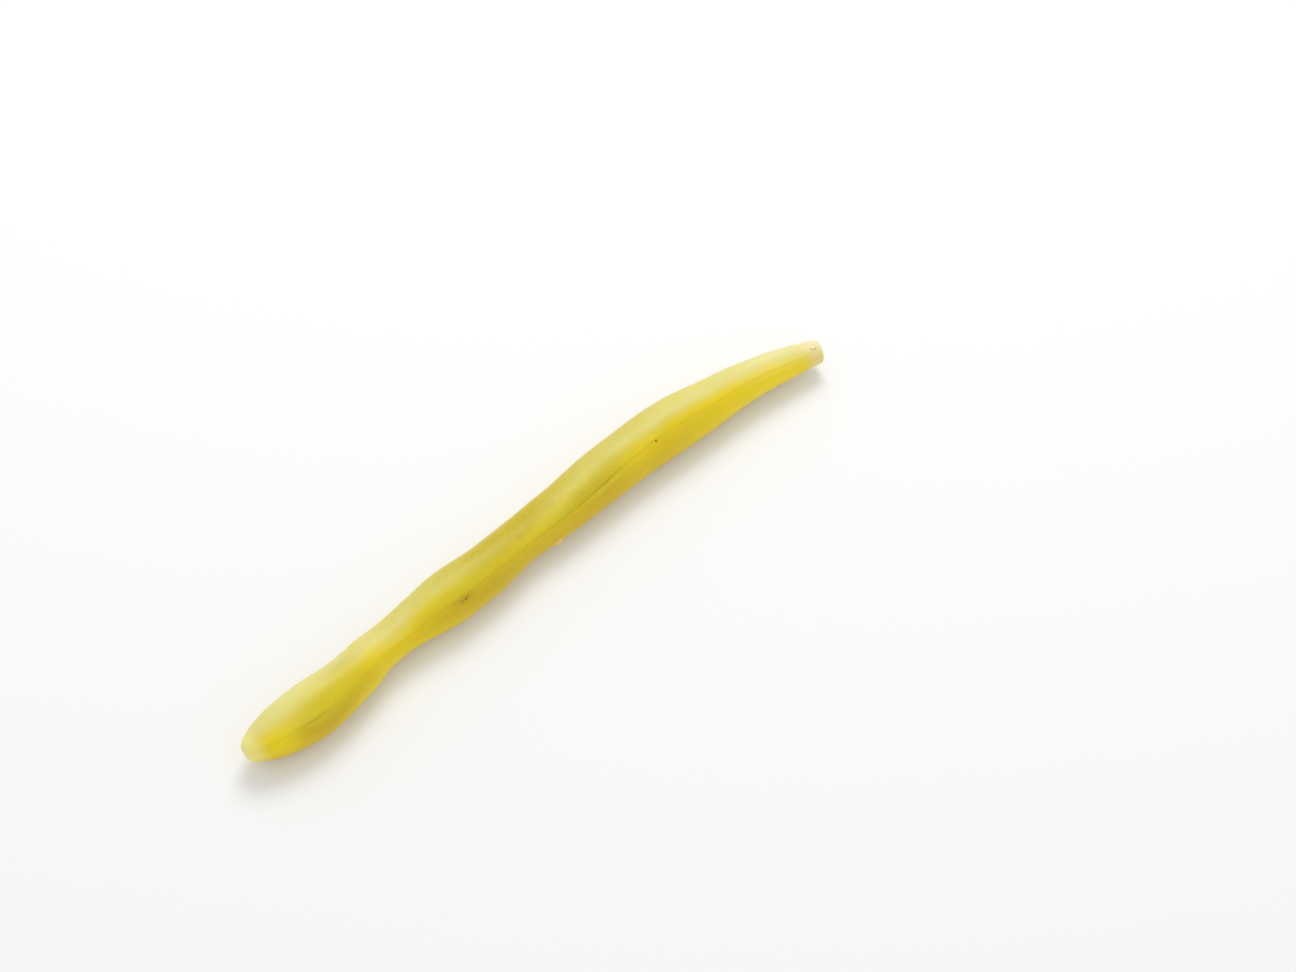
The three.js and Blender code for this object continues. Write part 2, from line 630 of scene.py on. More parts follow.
    def _lay_seams(self) -> None:
        """Splits the edges along both sutures, so that the skin is fine enough for their lines."""
        first, last = self.girth.nose / 10, self.girth.length - self.rim
        select_edges(self.piece, lambda co: abs(co.y) < self.close and first < co.x < last)
        bpy.ops.mesh.bevel(
            offset=self.seam_half_width, segments=self.seam_segments, affect="EDGES"
        )

    def _trim_blossom_end(self) -> None:
        """Rounds the edge of the trimmed nose and sinks its face a little."""
        select_points(self.piece, lambda co: co.x < self.close)
        bpy.ops.mesh.bevel(
            offset=self.tip_bevel, segments=self.tip_bevel_segments, affect="EDGES"
        )
        select_points(self.piece, lambda co: co.x < self.close)
        self._step_inwards(self.tip_face)

    def _cut_stem_end(self) -> None:
        """Models the face of the stem cut: a rim of skin, the flesh and the closed middle."""
        select_points(self.piece, lambda co: co.x > self.girth.length - self.close)
        self._step_inwards(self.cut_face)

    def _step_inwards(self, insets: tuple[Inset, ...]) -> None:
        """Insets the selected face of an end, one step after another."""
        for inset in insets:
            bpy.ops.mesh.inset(thickness=inset.width, depth=inset.rise)

    def _subdivide(self) -> None:
        """Rounds the cage into a fine smooth skin."""
        levels = self.subdivisions
        apply_modifier(self.piece, "SUBSURF", levels=levels, render_levels=levels)

    def _mark_lie(self) -> None:
        """Keeps each point's place on the straight pod, and where the cut flesh shows."""
        lie = Lie.of(self.piece)
        marks = self.piece.data.attributes.new("straight", "FLOAT_VECTOR", "POINT")
        places = np.stack([lie.along, lie.across, lie.upward], axis=1)
        marks.data.foreach_set("vector", places.astype(np.float32).ravel())
        flesh = self.piece.data.attributes.new("flesh", "FLOAT", "POINT")
        flesh.data.foreach_set("value", self._flesh(lie).astype(np.float32))

    def _flesh(self, lie: Lie) -> np.ndarray:
        """How much each point belongs to the cut flesh of the two ends rather than to the skin.

        Args:
            lie: Where the points are on the straight pod.

        Returns:
            A share from 0 to 1 for each point.
        """
        tip_radius = self.girth.half_width(0) - self.tip_bevel
        cut_radius = self.girth.cut - self.rim
        on_tip = lie.along < 0.2 * MM
        on_cut = lie.along > self.girth.length - self.rim
        edge = np.where(on_tip, tip_radius, np.where(on_cut, cut_radius, 0))
        return window(lie.radius, -1, edge - self.cut_edge / 2, self.cut_edge / 2)

    def _work_skin(self) -> None:
        """Works the sutures, the dents and the unevenness into the straight pod's skin."""
        lie = Lie.of(self.piece)
        ring = self.strand_ring_share * self.girth.cut
        strands = Strands(self.girth.length - self.rim, ring)
        for feature in (*self.features, strands):
            self._paint(feature.share(lie))
            self._press(feature.depth)
        for relief in self.reliefs:
            relief.work(self.piece)
        self._paint(self._flesh(lie))
        self.knife_marks.work(self.piece, "worked")
        self.piece.vertex_groups.clear()

    def _paint(self, share: np.ndarray) -> None:
        """Makes the vertex group that the next pressing keeps to.

        Args:
            share: How much of the depth each point takes.
        """
        self.piece.vertex_groups.clear()
        painted = self.piece.vertex_groups.new(name="worked")
        for index in np.flatnonzero(share > 1e-3).tolist():
            painted.add([index], float(share[index]), "REPLACE")

    def _press(self, depth: float) -> None:
        """Pushes the painted skin in by a depth, or pulls it out where the depth is negative."""
        apply_modifier(
            self.piece, "DISPLACE", strength=-depth, mid_level=0, vertex_group="worked"
        )

    def _bend(self, line: bpy.types.Object) -> None:
        """Bends the straight pod along its spine.

        Args:
            line: The spine's curve, which is removed afterwards.
        """
        apply_modifier(self.piece, "CURVE", object=line, deform_axis="POS_X")
        bpy.data.objects.remove(line)

    def _lie_down(self) -> None:
        """Presses the underside flat on the surface."""
        take_up(self.piece)
        bpy.ops.object.mode_set(mode="EDIT")
        select_points(self.piece, lambda co: co.z < 0)
        bpy.ops.transform.resize(value=(1, 1, 0), center_override=(0, 0, 0))
        bpy.ops.object.mode_set(mode="OBJECT")
        bpy.ops.object.shade_smooth()

    def _fit_box(self) -> None:
        """Moves and sizes the pod, by less than a hundredth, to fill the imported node's box."""
        low, high = (np.array(corner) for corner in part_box("pod"))
        lie = Lie.of(self.piece)
        places = np.stack([lie.along, lie.across, lie.upward])
        own_low, own_high = places.min(axis=1), places.max(axis=1)
        shift = (low + high - own_low - own_high) / 2
        bpy.ops.object.mode_set(mode="EDIT")
        bpy.ops.mesh.select_all(action="SELECT")
        bpy.ops.transform.translate(value=(shift[0], shift[1], -own_low[2]))
        fit = (high - low) / (own_high - own_low)
        bpy.ops.transform.resize(value=tuple(fit), center_override=(0, 0, 0))
        bpy.ops.object.mode_set(mode="OBJECT")
        log.info("fitted to its box by %s", np.round(fit, 4))
        bpy.ops.object.select_all(action="DESELECT")


# ---- Shading ----


def paint(code: str) -> Colour:
    """Turns a colour written as six hexadecimal digits into the one that shaders use.

    Args:
        code: The red, green and blue digits.

    Returns:
        The linear colour, opaque.
    """
    shown = [int(code[i : i + 2], 16) / 255 for i in (0, 2, 4)]
    linear = [c / 12.92 if c <= 0.04045 else ((c + 0.055) / 1.055) ** 2.4 for c in shown]
    return (*linear, 1.0)


class Bench:
    """Adds and joins the nodes of one material or world."""

    def __init__(self, tree: bpy.types.NodeTree) -> None:
        """Clears the tree and starts with nothing on it."""
        tree.nodes.clear()
        self.tree = tree

    def add(self, kind: str, inputs: dict | None = None, **settings: object) -> bpy.types.Node:
        """Adds a node.

        Args:
            kind: The node's type, without its common beginning.
            inputs: A value or another node's output for each input, by name or number.
            **settings: The node's own settings.

        Returns:
            The node.
        """
        node = self.tree.nodes.new("ShaderNode" + kind)
        for name, value in settings.items():
            setattr(node, name, value)
        for name, value in (inputs or {}).items():
            if isinstance(value, bpy.types.NodeSocket):
                self.tree.links.new(value, node.inputs[name])
            else:
                node.inputs[name].default_value = value
        return node

    def maths(self, operation: str, *values: Socket | float) -> Socket:
        """Works out one number from others."""
        return self.add("Math", dict(enumerate(values)), operation=operation).outputs[0]

    def fade(self, value: Socket, start: float, end: float) -> Socket:
        """Rises smoothly from 0 where a value is at start to 1 where it is at end."""
        inputs = {"Value": value, "From Min": start, "From Max": end}
        return self.add("MapRange", inputs, interpolation_type="SMOOTHSTEP").outputs[0]

    def ramp(self, value: Socket, low: float, high: float, first: float, last: float) -> Socket:
        """Runs straight from first where a value is at low to last where it is at high."""
        places = {"Value": value, "From Min": low, "From Max": high}
        return self.add("MapRange", {**places, "To Min": first, "To Max": last}).outputs[0]

    def mix(self, share: Socket | float, low: Socket | Colour, high: Socket | Colour) -> Socket:
        """Mixes two colours, the second by the given share."""
        inputs = {0: share, 6: low, 7: high}
        return self.add("Mix", inputs, data_type="RGBA").outputs[2]

    def noise(self, place: Socket, size: float, detail: float = 2) -> Socket:
        """Soft random patches of a given size, about 0.5 on the whole."""
        inputs = {"Vector": place, "Scale": 1 / size, "Detail": detail}
        return self.add("TexNoise", inputs).outputs[0]

    def distance(self, place: Socket) -> Socket:
        """How far a place is from the origin."""
        return self.add("VectorMath", {0: place}, operation="LENGTH").outputs["Value"]

    def stretched(self, place: Socket, length: float) -> Socket:
        """A place with its distance along the pod shrunk, so that patterns run lengthwise."""
        inputs = {"Vector": place, "Scale": (1 / length, 1, 1)}
        return self.add("Mapping", inputs, vector_type="POINT").outputs[0]


@dataclass(frozen=True)
class Patch:
    """A patch of another colour in the skin.

    Its place is a distance along the pod and a turn in degrees from the near suture. Its half
    length is a distance, its half breadth is in degrees, and its softness goes from 0 to 1.
    """

    along: float
    turn: float
    length: float
    breadth: float
    colour: str
    strength: float
    softness: float = 0.9


@dataclass(frozen=True)
class Span:
    """A stretch along the pod, and how far beyond it a colour still fades away."""

    start: float
    end: float
    fade: float


@dataclass(frozen=True)
class Paling:
    """How the skin pales towards one end.

    It is the skin's own colour at a distance of start from that end and palest at a distance of
    full, both of which wander by the drift and lean with the height in the pod. Round the pod its
    share climbs from the lowest underneath to the highest between the two turns.
    """

    end: End
    start: float
    full: float
    turns: Range
    lowest: float
    colour: str
    drift: float = 3 * MM
    lean: float = -0.15
    highest: float = 0.82


@dataclass
class SkinPainter:
    """Lays the skin's colours over one another, by the places and patterns that they follow.

    Straight is a place on the straight pod, with its parts along, across and upward. Turn is the
    angle round the pod in degrees from the near suture, and wandering is that angle with soft
    swings in it.
    """

    bench: Bench
    place: Socket
    straight: Socket
    along: Socket
    across: Socket
    upward: Socket
    turn: Socket
    wandering: Socket
    fibres: Socket
    flesh: Socket
    colour: Socket | Colour

    @classmethod
    def on(cls, bench: Bench, colour: str) -> "SkinPainter":
        """Sets out the places and patterns.

        Args:
            bench: The material's bench.
            colour: The colour that the others are laid on.

        Returns:
            The painter, with nothing laid yet.
        """
        straight = bench.add("Attribute", attribute_name="straight").outputs["Vector"]
        along, across, upward = bench.add("SeparateXYZ", {0: straight}).outputs
        place = bench.add("TexCoord").outputs["Object"]
        radians = bench.maths("ARCTAN2", across, upward)
        ragged = bench.maths("SUBTRACT", bench.noise(straight, 0.5 * MM), 0.5)
        wander = bench.maths("SUBTRACT", bench.noise(place, 5 * MM), 0.5)
        turn = bench.maths("MULTIPLY", radians, 180 / math.pi)
        turn = bench.maths("MULTIPLY_ADD", ragged, 4.0, turn)
        return cls(
            bench=bench,
            place=place,
            straight=straight,
            along=bench.maths("MULTIPLY_ADD", ragged, 0.4 * MM, along),
            across=across,
            upward=upward,
            turn=turn,
            wandering=bench.maths("MULTIPLY_ADD", wander, 22.0, turn),
            fibres=bench.noise(bench.stretched(straight, 14), 0.55 * MM, 3),
            flesh=bench.add("Attribute", attribute_name="flesh").outputs["Fac"],
            colour=paint(colour),
        )

    def lay(self, share: Socket | float, colour: Socket | str) -> None:
        """Lays a colour over those so far, by the given share."""
        over = paint(colour) if isinstance(colour, str) else colour
        self.colour = self.bench.mix(share, self.colour, over)

    def lay_patch(self, patch: Patch, turn: Socket) -> None:
        """Lays one patch over the colours so far.

        Args:
            patch: The patch to lay.
            turn: The turn round the pod, exact or wandering.
        """
        centred = self.bench.add(
            "Mapping",
            {
                "Vector": self.bench.add("CombineXYZ", {0: self.along, 1: turn}).outputs[0],
                "Location": (-patch.along / patch.length, -patch.turn / patch.breadth, 0),
                "Scale": (1 / patch.length, 1 / patch.breadth, 0),
            },
            vector_type="POINT",
        ).outputs[0]
        away = self.bench.distance(centred)
        share = self.bench.fade(away, 1 + patch.softness, 1 - patch.softness)
        self.lay(self.bench.maths("MULTIPLY", share, patch.strength), patch.colour)

    def within(self, span: Span) -> Socket:
        """Tells one stretch of the pod from the rest.

        Args:
            span: The stretch.

        Returns:
            1 on the stretch, and 0 further away than its fade.
        """
        opens = self.bench.fade(self.along, span.start - span.fade, span.start)
        closes = self.bench.fade(self.along, span.end + span.fade, span.end)
        return self.bench.maths("MULTIPLY", opens, closes)


@dataclass(frozen=True)
class WaxySkin:
    """The pod's smooth, waxy, slightly translucent yellow skin, and its pale trimmed ends.

    A pair of turns says where round the pod a colour begins to show and where it shows in full.
    Patches wander a little, and marks lie exactly where they are said to. Some colours are painted
    light: a pale painted sheen on the upper flank, a warm painted shade on the lower one, and the
    patches and marks noted as painted below.
    """

    length: float
    golden: str = "E8CE08"
    # Painted sheen: the pale upper flank stands partly for the lamp's soft highlight.
    pale_flank_sheen: str = "DAD07C"
    # Painted shade: the warmer, deeper yellow of the lower flank.
    low_flank_shade: str = "E9C406"
    blush: str = "CDC62C"
    line: str = "9C841E"
    # Painted highlight on the ridge below the near suture.
    ridge: str = "EBD83A"
    streak: str = "EADF60"
    fleck: str = "F4E640"
    flesh: str = "E9DEA6"
    core: str = "C9B76A"
    upper_turns: Range = (26, 61)
    upper_climb: float = 0.25 / MM
    upper_far_turns: Range = (165, 110)
    below_turns: Range = (3, -7)
    below_share: float = 0.45
    below_fades: Range = (90 * MM, 80 * MM)
    under_turns: Range = (-12, -62)
    under_share: float = 0.4
    lower_far_turns: Range = (-176, -140)
    blush_share: float = 0.18
    streak_share: float = 0.1
    fleck_share: float = 0.1
    line_width: Range = (0.12 * MM, 0.03 * MM)
    line_breaks: Range = (0.38, 0.56)
    line_shares: Range = (0.1, 0.26)
    faint_width: float = 0.45 * MM
    faint_share: float = 0.08
    ridge_inner: Range = (-0.25 * MM, -0.5 * MM)
    ridge_outer: Range = (-1.2 * MM, -0.75 * MM)
    ridge_highlight_share: float = 0.35
    paling_far_turns: Range = (176, 115)
    core_radius: Range = (0.75 * MM, 0.15 * MM)
    roughness: Range = (0.4, 0.52)
    near_line: Span = Span(58 * MM, 81 * MM, 4 * MM)
    near_line_deep: Span = Span(63 * MM, 71 * MM, 2 * MM)
    far_line: Span = Span(24 * MM, 74 * MM, 10 * MM)
    ridge_highlight_span: Span = Span(69 * MM, 72 * MM, 3 * MM)
    palings: tuple[Paling, ...] = (
        # The blossom end pales towards its tip. Its share is set higher underneath than on top,
        # which paints light onto the less lit lower side of the tip.
        Paling(End.BLOSSOM, 3.1 * MM, 0.3 * MM, (-30, 30), 0.92, "F6EC90", 0.8 * MM, 0),
        Paling(End.STEM, 22 * MM, 3 * MM, (-10, 40), 0.06, "DFD892"),
        Paling(End.STEM, 4.6 * MM, 1.4 * MM, (-45, 5), 0.6, "E9DCAC"),
    )
    patches: tuple[Patch, ...] = (
        # Painted shade: these two patches dim the painted sheen on the upper flank in the middle
        # of the pod, the first also with a greener tone.
        Patch(59.0 * MM, 60, 21 * MM, 50, "C9BE2E", 0.75),
        Patch(52.0 * MM, 66, 10 * MM, 46, "BEAB04", 0.9),
        Patch(66.0 * MM, 98, 26 * MM, 25, "C6AA06", 0.7),
        Patch(72.5 * MM, 46, 6.5 * MM, 40, "CEC468", 0.5),
        Patch(71.5 * MM, 0, 4.5 * MM, 24, "C8B40C", 0.4),
        Patch(72.0 * MM, 18, 5 * MM, 18, "BAA80A", 0.65),
        Patch(66.0 * MM, 8, 20 * MM, 18, "D2BA08", 0.4),
        Patch(56.0 * MM, 2, 4.5 * MM, 26, "E6D018", 0.45),
        Patch(14.5 * MM, -16, 7.5 * MM, 32, "BE9A10", 0.62),
        Patch(16.2 * MM, 46, 4 * MM, 26, "C0B230", 0.75),
        # Painted highlight: a pale sheen on the upper flank of the first seed.
        Patch(9.0 * MM, 64, 7.5 * MM, 44, "E0D986", 0.85),
        Patch(13.8 * MM, 18, 6.4 * MM, 30, "D6C50E", 0.88),
        # Painted light: brightens the golden skin near the tip, which the lamp lights less.
        Patch(4.1 * MM, -14, 2.6 * MM, 32, "F6E208", 0.75),
        # Painted light: brightens the lower flank where the lamp lights it less.
        Patch(28.0 * MM, -50, 10 * MM, 38, "F6E006", 0.85),
        # Painted highlight: carries the pale sheen lower on the flank.
        Patch(27.2 * MM, 24, 3.4 * MM, 12, "DAD47C", 0.4),
        # Painted light: evens out the shade that the pod's shape casts below the suture.
        Patch(76.5 * MM, -20, 4 * MM, 40, "FCE60A", 0.45),
        Patch(38.0 * MM, 17, 7 * MM, 11, "CEC622", 0.5),
        Patch(44.0 * MM, -22, 11 * MM, 30, "C4A616", 0.55),
        # Painted highlight: a pale streak over the upper flank.
        Patch(64.0 * MM, 25, 8 * MM, 14, "E0D250", 0.6),
        Patch(70.0 * MM, -35, 12 * MM, 30, "CAA814", 0.5),
        Patch(54.8 * MM, 42, 2.8 * MM, 16, "C4A800", 0.55),
        Patch(65.5 * MM, 12, 4 * MM, 12, "BCA208", 0.4),
        # Painted light: brightens the lower flank near the stem, where the lamp lights it less.
        Patch(106.0 * MM, -50, 12 * MM, 45, "FCE206", 0.8),
        Patch(110.0 * MM, 8, 7.5 * MM, 20, "F0E45C", 0.6),
        # Painted highlight: a whitish streak near the stem end's upper edge.
        Patch(109.0 * MM, 50, 5 * MM, 13, "F0ECB2", 0.7),
        Patch(26.0 * MM, 130, 10 * MM, 30, "CDCA46", 0.5),
        Patch(84.0 * MM, -128, 12 * MM, 28, "D2C838", 0.45),
    )
    marks: tuple[Patch, ...] = (
        Patch(40.2 * MM, -6.4, 1.6 * MM, 8, "BE9210", 0.45),
        Patch(39.75 * MM, -7.4, 0.28 * MM, 3.2, "A27A00", 0.65, 0.7),
        Patch(40.5 * MM, -6.4, 0.25 * MM, 2.4, "866200", 0.75, 0.6),
        Patch(40.95 * MM, -5.2, 0.36 * MM, 1.2, "967200", 0.5, 0.7),
        Patch(10.2 * MM, -0.8, 2.0 * MM, 1.7, "A88A18", 0.3, 0.7),
        Patch(81.6 * MM, -0.8, 0.2 * MM, 2.2, "66590A", 0.85, 0.6),
        Patch(80.9 * MM, 2.4, 0.4 * MM, 1.2, "9A8A18", 0.35, 0.7),
        Patch(70.9 * MM, -0.5, 0.3 * MM, 1.8, "948018", 0.4, 0.6),
        Patch(22.2 * MM, -48, 0.4 * MM, 4, "946F20", 0.3, 0.6),
        Patch(25.4 * MM, -33, 0.22 * MM, 2.5, "967420", 0.3, 0.6),
        Patch(114.2 * MM, 25, 0.17 * MM, 4.5, "9C9034", 0.42, 0.6),
        Patch(114.95 * MM, 21, 0.14 * MM, 4.5, "7C702C", 0.55, 0.6),
        Patch(114.5 * MM, 19, 0.28 * MM, 3.5, "AEA044", 0.4, 0.7),
        # Painted glint on the small pimple of the stem end.
        Patch(114.6 * MM, 29, 0.18 * MM, 5, "FAF4C4", 0.75, 0.6),
        Patch(115.5 * MM, -50, 0.18 * MM, 7, "A08C34", 0.35, 0.6),
        # Painted shadow under the torn flap of skin.
        Patch(60.2 * MM, -67, 1.3 * MM, 2.6, "8E6E14", 0.45, 0.7),
        # The torn flap's pale skin, with a painted highlight on it.
        Patch(61.6 * MM, -53, 1.5 * MM, 3.2, "E8C45E", 0.65, 0.7),
        Patch(59.6 * MM, -56, 0.85 * MM, 6.5, "F6D684", 0.85, 0.6),
        Patch(48.0 * MM, 150, 0.4 * MM, 2.2, "8E7014", 0.4, 0.7),
        Patch(90.0 * MM, -100, 0.22 * MM, 3, "8C6C1A", 0.45, 0.7),
        Patch(71.0 * MM, 168, 0.2 * MM, 3, "7F6010", 0.45, 0.7),
        Patch(19.0 * MM, 172, 0.6 * MM, 2, "946F20", 0.4, 0.7),
    )

    def material(self) -> bpy.types.Material:
        """Builds the material.

        Returns:
            The finished material.
        """
        made = bpy.data.materials.new("waxy_skin")
        made.use_nodes = True
        bench = Bench(made.node_tree)
        skin = SkinPainter.on(bench, self.golden)
        self._flanks(skin)
        for patch in self.patches:
            skin.lay_patch(patch, skin.wandering)
        self._flecks(skin)
        self._suture_lines(skin)
        for paling in self.palings:
            self._pale_end(skin, paling)
        for mark in self.marks:
            skin.lay_patch(mark, skin.turn)
        self._cut_flesh(skin)
        waxiness = bench.noise(skin.place, 1.6 * MM)
        shader = bench.add(
            "BsdfPrincipled",
            {
                "Base Color": skin.colour,
                "Roughness": bench.ramp(waxiness, 0.3, 0.7, *self.roughness),
                "IOR": 1.42,
                "Specular IOR Level": 0.31,
                "Coat Weight": 0.17,
                "Coat Roughness": 0.3,
                "Coat IOR": 1.4,
                "Normal": self._grain(skin),
                "Subsurface Weight": 0.5,
                "Subsurface Radius": (1.0, 0.65, 0.15),
                "Subsurface Scale": 2.5 * MM,
            },
        )
        bench.add("OutputMaterial", {"Surface": shader.outputs[0]})
        return made

    def _grain(self, skin: SkinPainter) -> Socket:
        """The fine grain of the skin, which is only just felt.

        Args:
            skin: The painter of this skin.

        Returns:
            The surface's normal with the pores and the fibres in it.
        """
        fine = skin.bench.noise(skin.place, 0.3 * MM, 3)
        inputs = {"Height": fine, "Distance": 0.02 * MM, "Strength": 0.3}
        pores = skin.bench.add("Bump", inputs).outputs[0]
        inputs = {"Height": skin.fibres, "Distance": 0.03 * MM, "Strength": 0.3, "Normal": pores}
        return skin.bench.add("Bump", inputs).outputs[0]

    def _flanks(self, skin: SkinPainter) -> None:
        """Lays a pale painted sheen over the upper flank and a warmer painted shade over the lower
        one, with a blush and streaks on both.

        Args:
            skin: The painter of this skin.
        """
        bench = skin.bench
        # Painted sheen over the upper flank.
        climbed = bench.maths("MULTIPLY_ADD", skin.along, self.upper_climb, skin.wandering)
        upper = bench.fade(climbed, *self.upper_turns)
        closes = bench.fade(skin.wandering, *self.upper_far_turns)
        skin.lay(bench.maths("MULTIPLY", upper, closes), self.pale_flank_sheen)
        # Painted warm shade just below the near suture and under the pod.
        below = bench.fade(skin.wandering, *self.below_turns)
        below = bench.maths("MULTIPLY", below, self.below_share)
        below = bench.maths("MULTIPLY", below, bench.fade(skin.along, *self.below_fades))
        under = bench.fade(skin.wandering, *self.under_turns)
        lower = bench.maths("MULTIPLY_ADD", under, self.under_share, below)
        closes = bench.fade(skin.wandering, *self.lower_far_turns)
        skin.lay(bench.maths("MULTIPLY", lower, closes), self.low_flank_shade)
        blush = bench.fade(bench.noise(skin.place, 3.5 * MM, 3), 0.4, 0.7)
        skin.lay(bench.maths("MULTIPLY", blush, self.blush_share), self.blush)
        streaks = bench.fade(skin.fibres, 0.45, 0.75)
        skin.lay(bench.maths("MULTIPLY", streaks, self.streak_share), self.streak)

    def _flecks(self, skin: SkinPainter) -> None:
        """Lays the fine, barely seen pale flecks all over the skin.

        Args:
            skin: The painter of this skin.
        """
        fine = skin.bench.noise(skin.bench.stretched(skin.straight, 1.5), 0.4 * MM, 2)
        share = skin.bench.fade(fine, 0.35, 0.75)
        skin.lay(skin.bench.maths("MULTIPLY", share, self.fleck_share), self.fleck)

    def _suture_lines(self, skin: SkinPainter) -> None:
        """Lays the thin dark line in each suture and a painted highlight on the ridge beside it.

        Args:
            skin: The painter of this skin.
        """
        bench = skin.bench
        # Painted highlight: a pale streak along the ridge below the near suture.
        inner = bench.fade(skin.across, *self.ridge_inner)
        outer = bench.fade(skin.across, *self.ridge_outer)
        ridge = bench.maths("MULTIPLY", inner, outer)
        ridge = bench.maths("MULTIPLY", ridge, skin.within(self.ridge_highlight_span))
        skin.lay(bench.maths("MULTIPLY", ridge, self.ridge_highlight_share), self.ridge)

        wobble = bench.maths("SUBTRACT", bench.noise(skin.place, 2.5 * MM), 0.5)
        aside = bench.maths("MULTIPLY_ADD", wobble, 0.2 * MM, skin.across)
        off_line = bench.maths("ABSOLUTE", aside)
        faint = bench.fade(off_line, self.faint_width, 0)
        skin.lay(bench.maths("MULTIPLY", faint, self.faint_share), self.line)

        near = bench.fade(skin.upward, -0.1 * MM, 0.1 * MM)
        far = bench.maths("SUBTRACT", 1, near)
        marked = bench.maths("MULTIPLY", near, skin.within(self.near_line))
        marked = bench.maths("MULTIPLY_ADD", far, skin.within(self.far_line), marked)
        breaks = bench.noise(bench.stretched(skin.straight, 5), 0.8 * MM, 3)
        thin = bench.maths("MULTIPLY", bench.fade(off_line, *self.line_width), marked)
        thin = bench.maths("MULTIPLY", thin, bench.fade(breaks, *self.line_breaks))
        deep = bench.ramp(skin.within(self.near_line_deep), 0, 1, *self.line_shares)
        skin.lay(bench.maths("MULTIPLY", thin, deep), self.line)

    def _pale_end(self, skin: SkinPainter, paling: Paling) -> None:
        """Pales the skin towards one end, with no step at the far suture.

        Args:
            skin: The painter of this skin.
            paling: Which end pales, where and to which colour.
        """
        bench = skin.bench
        drift = bench.maths("SUBTRACT", bench.noise(skin.place, 2.5 * MM, 3), 0.5)
        away = bench.maths("MULTIPLY_ADD", drift, paling.drift, skin.along)
        away = bench.maths("MULTIPLY_ADD", skin.upward, paling.lean, away)
        if paling.end is End.STEM:
            away = bench.maths("SUBTRACT", self.length, away)
        climbed = bench.fade(skin.wandering, *paling.turns)
        closes = bench.fade(skin.wandering, *self.paling_far_turns)
        climbed = bench.maths("MULTIPLY", climbed, closes)
        share = bench.ramp(climbed, 0, 1, paling.lowest, paling.highest)
        nearness = bench.fade(away, paling.start, paling.full)
        skin.lay(bench.maths("MULTIPLY", nearness, share), paling.colour)

    def _cut_flesh(self, skin: SkinPainter) -> None:
        """Lays the moist pale flesh inside the rim of each trimmed end.

        Args:
            skin: The painter of this skin.
        """
        bench = skin.bench
        mottle = bench.fade(bench.noise(skin.place, 0.35 * MM, 3), 0.4, 0.7)
        mottle = bench.maths("MULTIPLY", mottle, 0.3)
        inside = bench.mix(mottle, paint(self.flesh), paint(self.core))
        inputs = {0: skin.straight, 1: (0, 1, 1)}
        aside = bench.add("VectorMath", inputs, operation="MULTIPLY").outputs[0]
        core = bench.fade(bench.distance(aside), *self.core_radius)
        inside = bench.mix(bench.maths("MULTIPLY", core, 0.8), inside, paint(self.core))
        healed = bench.ramp(skin.along, 0, self.length, 0.15, 1)
        skin.lay(bench.maths("MULTIPLY", skin.flesh, healed), inside)


# ---- The studio ----


@dataclass(frozen=True)
class Lamp:
    """A square soft lamp aimed at the bean: where it stands, its side and how bright it looks."""

    name: str
    place: Place
    side: float
    brightness: float

    def build(self) -> bpy.types.Object:
        """Makes the lamp. A brightness of 1 looks white.

        Returns:
            The lamp's object.
        """
        data = bpy.data.lights.new(self.name, "AREA")
        data.shape = "SQUARE"
        data.size = self.side
        data.energy = self.brightness * math.pi * self.side**2
        made = bpy.data.objects.new(self.name, data)
        made.location = self.place
        made.rotation_euler = (-Vector(self.place)).to_track_quat("-Z", "Y").to_euler()
        bpy.context.scene.collection.objects.link(made)
        return made


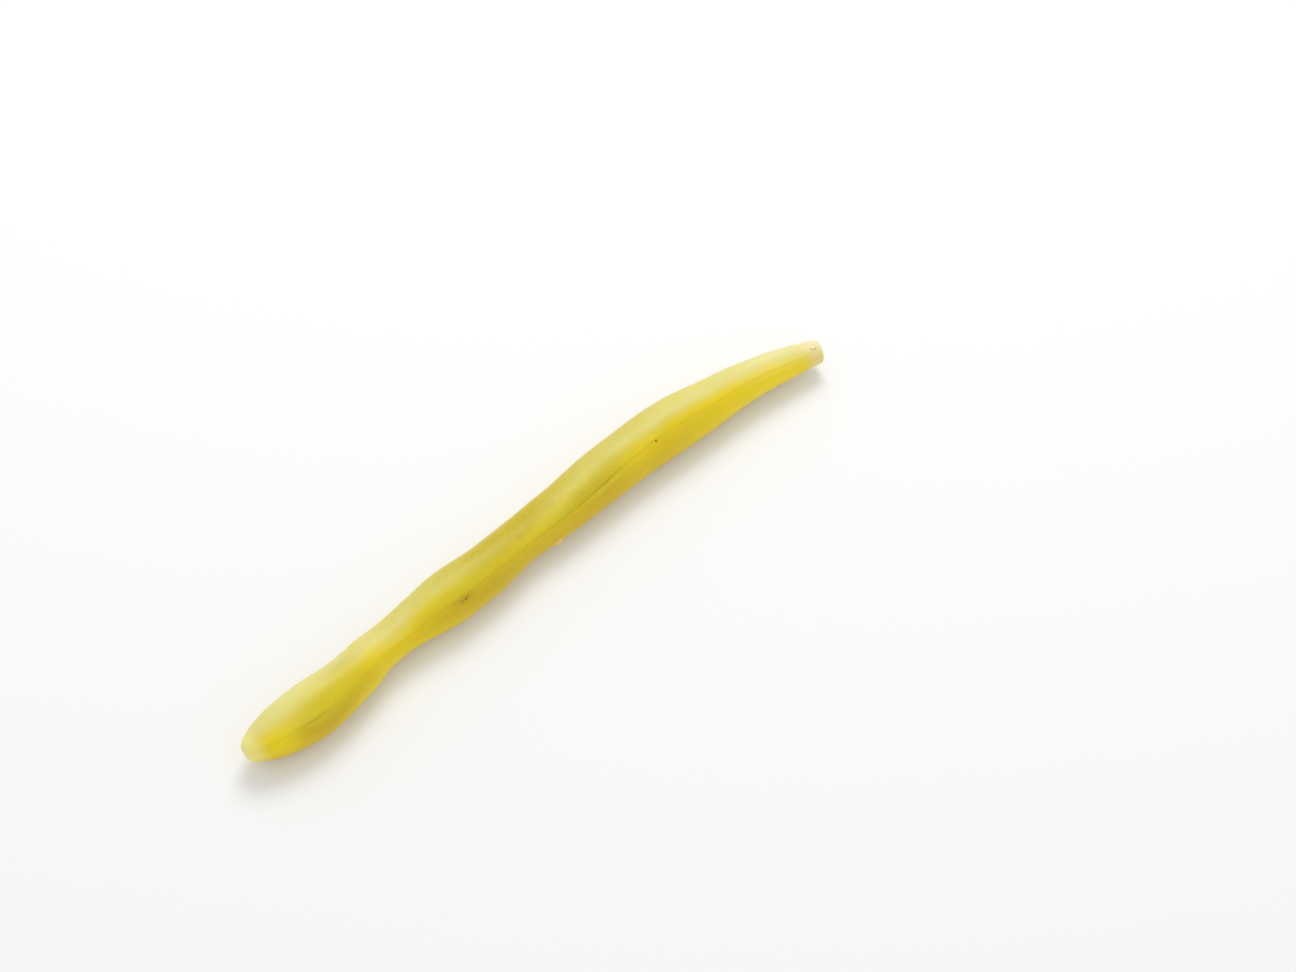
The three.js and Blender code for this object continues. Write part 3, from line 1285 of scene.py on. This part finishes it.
@dataclass(frozen=True)
class Studio:
    """The pale floor, the soft lamp, the surroundings and the camera."""

    floor_side: float = 3.0
    floor_drop: float = 0.01 * MM
    floor_shade: float = 0.82
    floor_lift: float = 0.1
    white_from: float = 150 * MM
    white_beyond: float = 450 * MM
    ambient: float = 0.74
    azimuth: float = math.radians(-41)
    elevation: float = math.radians(52)
    distance: float = 452 * MM
    aim: Place = (20.4 * MM, -1.4 * MM, 0.0)
    lens: float = 80.0
    lamp: Lamp = Lamp("high_softbox", (242 * MM, 232 * MM, 500 * MM), 320 * MM, 4.8)

    def build(self) -> None:
        """Sets up the whole studio."""
        self._lay_floor()
        self._light()
        self._place_camera()

    def _seen(self, bench: Bench) -> Socket:
        """Tells the rays that show the background from those that light the bean.

        Args:
            bench: The bench of the floor's material or of the world.

        Returns:
            1 for rays that show the background, 0 for the others.
        """
        rays = bench.add("LightPath").outputs
        seen = bench.maths("MAXIMUM", rays["Is Camera Ray"], rays["Is Glossy Ray"])
        return bench.maths("MAXIMUM", seen, rays["Is Transmission Ray"])

    def _lay_floor(self) -> None:
        """Lays the pale floor, which turns plain white away from the bean."""
        bpy.ops.object.select_all(action="DESELECT")
        bpy.ops.mesh.primitive_plane_add(size=self.floor_side, location=(0, 0, -self.floor_drop))
        floor = bpy.context.object
        floor.name = "floor"
        bpy.ops.object.transform_apply(location=True, rotation=False, scale=False)
        surface = bpy.data.materials.new("pale_floor")
        surface.use_nodes = True
        bench = Bench(surface.node_tree)
        shade = (self.floor_shade,) * 3 + (1.0,)
        lit = bench.add("BsdfDiffuse", {"Color": shade})
        lift = bench.maths("MULTIPLY", self._seen(bench), self.floor_lift)
        lift = bench.add("Emission", {"Strength": lift})
        near = bench.add("AddShader", {0: lit.outputs[0], 1: lift.outputs[0]})
        white = bench.add("Emission", {"Strength": 1.0})
        away = bench.distance(bench.add("TexCoord").outputs["Object"])
        away = bench.fade(away, self.white_from, self.white_beyond)
        away = bench.maths("MULTIPLY", away, self._seen(bench))
        both = bench.add("MixShader", {0: away, 1: near.outputs[0], 2: white.outputs[0]})
        bench.add("OutputMaterial", {"Surface": both.outputs[0]})
        floor.data.materials.append(surface)

    def _light(self) -> None:
        """Lights the scene with the lamp and a soft ambient light."""
        self.lamp.build()
        world = bpy.data.worlds.new("studio")
        world.use_nodes = True
        bench = Bench(world.node_tree)
        strength = bench.maths("MAXIMUM", self._seen(bench), self.ambient)
        sky = bench.add("Background", {"Strength": strength, "Color": (1, 1, 1, 1)})
        bench.add("OutputWorld", {"Surface": sky.outputs[0]})
        bpy.context.scene.world = world

    def _place_camera(self) -> None:
        """Places the camera and sets the plain view transform."""
        level = math.cos(self.elevation)
        right, back = math.sin(self.azimuth) * level, -math.cos(self.azimuth) * level
        towards = Vector((right, back, math.sin(self.elevation)))
        data = bpy.data.cameras.new("camera")
        data.lens = self.lens
        camera = bpy.data.objects.new("camera", data)
        camera.location = Vector(self.aim) + towards * self.distance
        camera.rotation_euler = (-towards).to_track_quat("-Z", "Y").to_euler()
        bpy.context.scene.collection.objects.link(camera)
        bpy.context.scene.camera = camera
        bpy.context.scene.view_settings.view_transform = "Standard"


def main() -> None:
    """Builds the bean and the studio."""
    logging.basicConfig(level=logging.INFO, format="%(name)s: %(message)s")
    pod = Pod()
    bean = pod.build()
    bean.data.materials.append(WaxySkin(pod.girth.length).material())
    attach(bean, "root")
    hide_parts("pod")
    log.info("%s: %d faces", bean.name, len(bean.data.polygons))
    Studio().build()
    log.info("studio: lit and framed")


if __name__ == "__main__":
    main()
